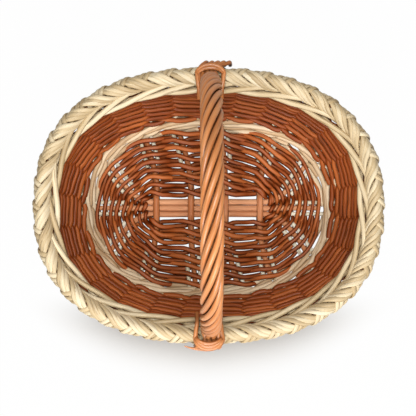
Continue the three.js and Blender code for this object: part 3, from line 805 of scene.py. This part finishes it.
grow("side_stakes", lineMesh(stakeRods(), 13), willowTree, stakes.sweep, stakeWillow,
     [f"side_stake_{k + 1:02d}" for k in range(len(feet))])


def stakeStations():
    footAngles = [rim + shortTurn(foot["angle"] - rim) for foot, rim in zip(feet, rimAngles)]
    return pointMesh([(0, 0, 0)] * len(feet), [], rimAngle=rimAngles, footAngle=footAngles)


# Upsett: two rounds of a wale of four strands, inside two stakes and outside the next two
wale = dict(
    strands=4, pieces=4, spaces=13.0, steps=7, period=4.0, shift=-0.5, sharpness=1.6, inward=0.3,
    saw=3.5 * mm, firstHeight=8.4 * mm, roundRise=10.4 * mm, lowSwing=0.9, butt=3.9 * mm, tip=3.3 * mm,
    grip=1.8 * mm, lead=0.3, seed=21, **sweepOf(8, 0.5, 24.0, 0.14))
grow("upsett_wale_rods", stakeStations(), weaveTree, wale, waleWillow, ["upsett_wale"])

# Side weave: one rod from each stake, inside one and outside the next, climbing to the border
randing = dict(
    strands=26, spaces=18.4, steps=8, period=2.0, sharpness=1.25, inward=0.4, firstHeight=25.4 * mm,
    riseAtFoot=4.76 * mm, riseAtRim=5.26 * mm, lowSwing=0.4, lowInward=1.9 * mm, butt=3.6 * mm,
    tip=2.5 * mm, grip=0.7 * mm, lead=0.5, seed=31, **sweepOf(8, 0.6, 24.0, 0.1))
grow("side_weave_rods", stakeStations(), weaveTree, randing, brownWillow, ["side_weave"])

# Border: the stakes lie down inside the next one and run outward under the plait
leaning = Settings(
    radius=3.7 * mm, tipShrink=0.85, space=0.05, spacing=4 * mm,
    path=[(0.12, 0, 111), (0.02, -0.8, 116), (-0.14, -3.6, 119.5), (-0.5, -7.6, 121.8),
          (-1.0, -9.4, 124.5), (-1.5, -7.0, 127.5), (-2.0, -2.6, 130.5), (-2.5, 2.6, 131.5),
          (-3.0, 7.5, 130), (-3.4, 10.5, 127)],
    ring=dict(count=26, phase=basket.stakePhase, halfLength=topSize[0], halfWidth=topSize[1],
              looseAlong=0.05, looseAcross=0.5 * mm, seed=41, **sweepOf(10, 0.5, 16.0, 0.1)))
grow("border_leaning_stakes", lineMesh([guideRod(leaning.path, leaning)], 14), borderTree,
     leaning.ring, creamWillow, ["border_leaning_rods"])

# Plait: flat bundles of three rods cross from the inner edge over the top, round the outer edge and
# back beneath, each over and under its neighbours. The band lies round the border's outer top.
outerOval = dict(halfLength=basket.rimLength, halfWidth=basket.rimWidth)
plait = Settings(
    strokes=42, rods=3, radius=3.4 * mm, squash=0.5, rodPitch=4.7 * mm, roundLength=1.304,
    spacesPerTurn=5.0, crossing=0.68, widerBack=0.5, bandInset=12.8 * mm, bandHeight=127 * mm,
    bandWide=8.6 * mm, bandTall=13.0 * mm, middle=34, reach=130, over=2.3 * mm, endWidth=0.6,
    start=-0.66, end=1.42, steps=56, slopeStep=0.05, measured=(20, 30),
    ring=dict(count=42, phase=0.2, **outerOval, looseAlong=0.02, looseAcross=0.3 * mm, seed=51,
              **sweepOf(8, 0.3, 20.0, 0.12)))


def plaitGuide():
    space = plait.roundLength / plait.strokes
    rods = []

    def bandPoint(degrees):
        turn = radians(degrees)
        wide, tall = plait.bandWide, plait.bandTall
        normal = Vector((sin(turn) / wide, cos(turn) / tall)).normalized()
        return Vector((wide * sin(turn), tall * cos(turn))), normal

    def spacesAt(turn):
        # the crossing on top takes a longer share of the turn than the way back beneath
        half = (turn / pi + 0.5) // 1
        part = turn / pi + 0.5 - half
        share = plait.crossing if half % 2 == 0 else 1 - plait.crossing
        done = (half // 2) + (plait.crossing if half % 2 else 0)
        return plait.spacesPerTurn * (done + share * part)

    low, high = plait.measured
    perDegree = (bandPoint(high)[0] - bandPoint(low)[0]).length / (high - low)
    slopeStep = plait.slopeStep
    for number in range(plait.rods):
        aside = (number - (plait.rods - 1) / 2) * plait.rodPitch
        points, facings = [], []
        for i in range(plait.steps + 1):
            turn = mix(plait.start, plait.end, i / plait.steps) * pi
            lateral = plait.reach * sin(turn)
            advance = (spacesAt(turn + slopeStep) - spacesAt(turn - slopeStep)) * space / (2 * slopeStep)
            slope = plait.reach * perDegree * cos(turn) / advance
            # the bundle is widest halfway across and narrow where it turns
            width = aside * mix(plait.endWidth, 1, cos(turn) ** 2) / hypot(1, slope)
            width *= 1 + plait.widerBack * max(-cos(turn), 0)
            spot, normal = bandPoint(plait.middle + lateral + width / perDegree)
            spot -= normal * plait.over * sin(2 * turn)
            facings.append((0.0, *normal))
            points.append((spacesAt(turn) - width * slope / space,
                           spot.x - plait.bandInset, plait.bandHeight + spot.y))
        rods.append({"points": points, "facings": facings,
                     "radius": plait.radius, "squash": plait.squash})
    return rods


grow("border_plait_rods", lineMesh(plaitGuide(), 15), borderTree, plait.ring, creamWillow,
     ["border_plait"])

# The tips of the side weave run on round the border inside the plait
tips = Settings(
    radius=3.4 * mm, tipShrink=0.7, space=0.04, spacing=8 * mm,
    paths=[[(0, -20, 118.5), (0.7, -18, 119.5), (1.5, -19, 120.5), (2.2, -17, 122)],
           [(0.3, -15, 121), (1.0, -13, 123), (1.8, -14, 124.5), (2.5, -12, 124)],
           [(0.6, -12.5, 129), (1.3, -14, 130), (2.1, -13, 131), (2.8, -14, 129)]],
    ring=dict(count=26, phase=0.4, **outerOval, looseAlong=0.1, looseAcross=0.6 * mm, seed=61,
              **sweepOf(8, 0.5, 20.0, 0.12)))
grow("border_weave_tips", lineMesh([guideRod(path, tips) for path in tips.paths], 19), borderTree,
     tips.ring, brownWillow, ["side_weave"])

# Handle: a bow pushed down into the wall, roped over with seven strands that fan over the border.
# What differs between its feet is kept by side, -1 for the front and 1 for the back. A fan goes
# round the border by degrees, with the spread of its rods and how far they lean in millimetres.
handle = Settings(
    offset=2 * mm, bowRadius=4.8 * mm, bowSteps=60, bowTone=0.4, legHeights=(52, 68, 84, 100, 117),
    archFoot=165 * mm, ropeRadius=9.7 * mm, strands=7, strandRadius=3.6 * mm,
    crownDrop=10.85 * mm, shift=17, wrap=2, wrapSpan=0.2, steps=150, spacing=3 * mm,
    thinEnd={-1: 0.86, 1: 0.74}, thinFrom=(0.37, 0.45), rowPitch=7.3 * mm, fanReach=2,
    roundingY=169.5 * mm, roundingZ=137 * mm, overRadius={-1: 9.5 * mm, 1: 11.1 * mm},
    hangZ=121 * mm, hangLean=1 * mm, seatZ=137.3 * mm, fanSteps=(0.2, 0.4, 0.6, 0.8),
    fan={-1: [(0, 0.75, -4), (30, 0.9, 1), (60, 0.95, 3), (90, 0.95, 4)],
         1: [(0, 0.7, -4.5), (30, 0.88, 2), (60, 1, 8), (90, 1, 10)]},
    crowd=0.42, crowdTop=215 * mm, footFacing=(0, 0, 0.3),
    bowSweep=sweepOf(14, 0.3, 10.0, 0.06), ropeSweep=sweepOf(14, 0.2, 20.0, 0.06))
archRise = basket.totalHeight - handle.crownDrop - handle.strandRadius - basket.wallTop
archStart = asin((handle.archFoot - basket.wallTop) / archRise)


def archAt(turn):
    return Vector((handle.offset, -topSize[1] * cos(turn), basket.wallTop + archRise * sin(turn)))


def archPoint(share):
    return archAt(mix(archStart, pi - archStart, share))


def archHalfSpan(height):
    return topSize[1] * sqrt(1 - ((height - basket.wallTop) / archRise) ** 2)


def archFrame(share, step=0.002):
    tangent = (archPoint(min(share + step, 1)) - archPoint(max(share - step, 0))).normalized()
    return archPoint(share), Vector((1, 0, 0)).cross(tangent)


def archShares(count, fine=2000):
    # shares that step evenly along the arch
    lengths, shares, i = lengthsAlong(archPoint, fine), [0.0], 0
    for k in range(1, count):
        while lengths[i] < lengths[-1] * k / count:
            i += 1
        shares.append(i / fine)
    return [*shares, 1.0]


def bowRod():
    legs = [Vector((handle.offset, wallAt(z * mm)[1], z * mm)) for z in handle.legHeights]
    front = [Vector((p.x, -p.y, p.z)) for p in legs]
    arch = [archPoint(share) for share in archShares(handle.bowSteps)]
    return [{"points": [*front, *arch, *reversed(legs)],
             "radius": handle.bowRadius, "tone": handle.bowTone}]


def placeAtFoot(index):
    half = (handle.strands - 1) // 2
    return (index + half) % handle.strands - half


def strandFoot(side, place):
    # the strand turns on round the bow by one place, then runs out over the border and leans
    row = placeAtFoot(place + side)
    rowX = row * handle.rowPitch
    offset, foot = handle.offset, handle.archFoot

    def helix(t, height):
        turn = (place + side * t) / handle.strands * 2 * pi
        return (offset + handle.ropeRadius * sin(turn),
                archHalfSpan(height) + handle.ropeRadius * cos(turn))

    line = []
    if abs(row) > handle.fanReach:
        for t in (0.5, 1):
            height = mix(foot, handle.seatZ, t)
            x, y = helix(t, height)
            line.append(Vector((x, side * y, height)))
        return line
    over = handle.overRadius[side]
    top = handle.roundingZ + over
    firstStep = handle.fanSteps[0]
    for t in handle.fanSteps:
        x, y = helix(t, mix(foot, top, t))
        y = mix(y, handle.roundingY, t * t)
        z = foot * (1 - t) ** 2 + top * (1 - (1 - t) ** 2)
        degrees, spread, lean = handle.fan[side][0]
        crest = offset + rowX * spread + side * lean * mm
        line.append(Vector((mix(x, crest, smoothStep(t, firstStep, 1)), side * y, z)))
    for degrees, spread, lean in handle.fan[side]:
        turn = radians(degrees)
        line.append(Vector((offset + rowX * spread + side * lean * mm,
                            side * (handle.roundingY + over * sin(turn)),
                            handle.roundingZ + over * cos(turn))))
    line.append(Vector((line[-1].x + side * handle.hangLean, line[-1].y, handle.hangZ)))
    return line


def ropeFacing(point):
    centre = archAt(atan2((point.z - basket.wallTop) / archRise, -point.y / topSize[1]))
    bend = Vector(handle.footFacing) if point.z < handle.archFoot else Vector((0, 0, 0))
    # the facing here only places the painted shade and highlight: the strands press together at the feet,
    # so more of each counts as its side and is painted in shade
    crowd = mix(handle.crowd, 1, smoothStep(point.z, handle.archFoot, handle.crowdTop))
    return ((point - centre).normalized() + bend).normalized() * crowd


def strandRadius(share):
    thin = handle.thinEnd[1 if share > 0.5 else -1]
    return handle.strandRadius * mix(1, thin, smoothStep(abs(share - 0.5), *handle.thinFrom))


def strandRods():
    rods = []
    shares, span, spacing = archShares(handle.steps), handle.wrapSpan, handle.spacing
    for index in range(handle.strands):
        wound = []
        for share in shares:
            centre, outward = archFrame(share)
            # the strands turn faster towards the two feet
            faster = max(1 - (1 - share) / span, 0) ** 2 - max(1 - share / span, 0) ** 2
            turn = (index + handle.shift * share + handle.wrap * faster) / handle.strands * 2 * pi
            wound.append(centre + outward * (handle.ropeRadius * cos(turn))
                         + Vector((1, 0, 0)) * (handle.ropeRadius * sin(turn)))
        start = list(reversed(strandFoot(-1, placeAtFoot(index - handle.wrap))))
        end = strandFoot(1, placeAtFoot(index + handle.shift + handle.wrap))
        line = [*smoothLine([*start, wound[1]], spacing)[:-1], *wound[1:-1],
                *smoothLine([wound[-2], *end], spacing)[1:]]
        rods.append({"points": line, "facings": [tuple(ropeFacing(point)) for point in line],
                     "radius": strandRadius})
    return rods


grow("handle_bow_rod", lineMesh(bowRod(), 16), willowTree, handle.bowSweep, bowWillow,
     ["handle_bow"])
grow("handle_roping", lineMesh(strandRods(), 17), willowTree, handle.ropeSweep, handleWillow,
     [f"handle_strand_{i + 1}" for i in range(handle.strands)])

# Collars: thin rods bent round over the fanned strands side by side, three in front, where one more
# sticks out as a tail, and two at the back
collar = Settings(
    radius=2.55 * mm, clearance=0.3 * mm, reach=30 * mm, tip=10 * mm, dip=12 * mm, tilt={-1: 28, 1: 10},
    rods={-1: 3, 1: 2}, back={-1: 42, 1: 30}, apart={-1: 4 * mm, 1: 1.9 * mm}, apartTurn=0.8,
    apartRise=0.3 * mm, apartWide=0.6 * mm, roundness=0.7, halfWidth=16.6 * mm, armWidth=14.6 * mm,
    armShare=0.6, armLift=1.2 * mm, middle={-1: -0.3 * mm, 1: 1.7 * mm}, bendSteps=range(-90, 91, 15),
    spacing=3 * mm, tone=0.3, toneSpread=0.2, tailTone=0.4, tailThin=0.3,
    tail=[(-2, 181.9, 139), (-12, 181.4, 139.5), (-22, 179.8, 140.5), (-31, 177.2, 141.5)],
    sweep=sweepOf(12, 0.2, 30.0, 0.1))


def collarRods(side):
    grip = handle.strandRadius + collar.clearance + collar.radius
    restZ = basket.rimHeight + collar.clearance + collar.radius
    over, middle, count = handle.overRadius[side], collar.middle[side], collar.rods[side]
    rods = []
    for number in range(count):
        pair = number * 2 / (count - 1) - 1
        bends = []
        for degrees in collar.bendSteps:
            turn = radians(degrees)
            tilt = radians(collar.tilt[side] - collar.back[side] * (1 - cos(turn)))
            tilt += pair * collar.apart[side] * cos(turn * collar.apartTurn) / (over + grip)
            radial = (over + grip * cos(turn) ** collar.roundness
                      + pair * collar.apartRise * sin(turn))
            bends.append(Vector(((collar.halfWidth + pair * collar.apartWide) * sin(turn),
                                 handle.roundingY + radial * sin(tilt),
                                 handle.roundingZ + radial * cos(tilt))))
        armEnd = bends[0].y - collar.reach

        def arm(x):
            return [Vector((x * collar.armWidth, armEnd, restZ - collar.dip)),
                    Vector((x * collar.armWidth, armEnd + collar.tip, restZ)),
                    Vector((x * mix(collar.armWidth, collar.halfWidth, collar.armShare),
                            armEnd + collar.reach * collar.armShare, restZ + collar.armLift))]
        points = [*arm(-1), *bends, *reversed(arm(1))]
        points = [Vector((middle + p.x, side * p.y, p.z)) for p in points]
        rods.append({"points": smoothLine(points, collar.spacing), "radius": collar.radius,
                     "tone": collar.tone + collar.toneSpread * pair})
    if side < 0:
        points = [Vector((x * mm, -y * mm, z * mm)) for x, y, z in collar.tail]
        rods.append({"points": smoothLine(points, collar.spacing), "tone": collar.tailTone,
                     "radius": thinning(collar.radius, collar.tailThin)})
    return rods


for side, label in ((-1, "front"), (1, "back")):
    grow("collar_" + label, lineMesh(collarRods(side), 18), willowTree, collar.sweep, handleWillow,
         ["handle_collar_" + label])

# Floor, lights and camera
stage = Settings(
    floorSize=3.0, paper=(0.535, 0.521, 0.495), farGlow=0.98, nearGlow=0.05,
    frontRange=(0.66, 1.0), awayRange=(1.1, 2.0), worldStrength=0.2,
    lights=[("Main softbox", (0.02, 0.22, 1.75), (0, 0, 0.05), 0.75, 24),
            ("Front softbox", (-0.06, -1.2, 0.95), (0, 0.05, 0.1), 0.7, 22)],
    camera=(-0.01, -0.045, 1.294), aim=(-0.0013, -0.0045, basket.rimHeight), fieldOfView=25.57, sensor=36)
white = (1, 1, 1, 1)


def whiteFloor():
    material, wire = newMaterial("White floor")
    direct, through = (wire.node("ShaderNodeLightPath", output=ray)
                       for ray in ("Is Camera Ray", "Is Transmission Ray"))
    # the floor in front keeps the shadow near the basket, the rest of it is plain white
    place = wire.node("ShaderNodeTexCoord", output="Object")
    across, ahead = place.part(0) / basket.rimLength, place.part(1) / basket.rimWidth * -1
    away = across * across + ahead * ahead
    front = ahead.ramp(*stage.frontRange) * (1 - away.ramp(*stage.awayRange))
    share = front.between(stage.farGlow, stage.nearGlow)
    paper = wire.node("ShaderNodeBsdfDiffuse", {"Color": opaque(stage.paper)})
    glow = wire.node("ShaderNodeEmission", {"Color": white, "Strength": 1.0})
    both = wire.node("ShaderNodeMixShader", {0: direct.most(through) * share, 1: paper, 2: glow})
    wire.node("ShaderNodeOutputMaterial", {"Surface": both})
    return material


floorMesh = bpy.data.meshes.new("Floor")
half = stage.floorSize / 2
corners = [(-half, -half, 0), (half, -half, 0), (half, half, 0), (-half, half, 0)]
floorMesh.from_pydata(corners, [], [(0, 1, 2, 3)])
floorMesh.materials.append(whiteFloor())
floor = placed("Floor", floorMesh)

for name, place, target, size, power in stage.lights:
    light = bpy.data.lights.new(name, "AREA")
    light.shape, light.size, light.energy = "DISK", size, power
    lamp = placed(name, light)
    lamp.location = place
    lamp.rotation_euler = (Vector(target) - Vector(place)).to_track_quat("-Z", "Y").to_euler()

world = bpy.data.worlds.new("Studio")
world.use_nodes = True
world.node_tree.nodes.clear()
sky = Wire(world.node_tree)
background = sky.node("ShaderNodeBackground", {"Color": white, "Strength": stage.worldStrength})
sky.node("ShaderNodeOutputWorld", {"Surface": background})
bpy.context.scene.world = world

lens = bpy.data.cameras.new("Camera")
lens.sensor_width = stage.sensor
lens.lens = stage.sensor / 2 / tan(radians(stage.fieldOfView / 2))
camera = placed("Camera", lens)
camera.location = stage.camera
aim = (Vector(stage.aim) - camera.location).normalized()
right = aim.cross(Vector((0, 1, 0))).normalized()
camera.rotation_euler = Matrix((right, right.cross(aim), -aim)).transposed().to_euler()
bpy.context.scene.camera = camera
bpy.context.scene.view_settings.view_transform = "Standard"
print("stage ready")
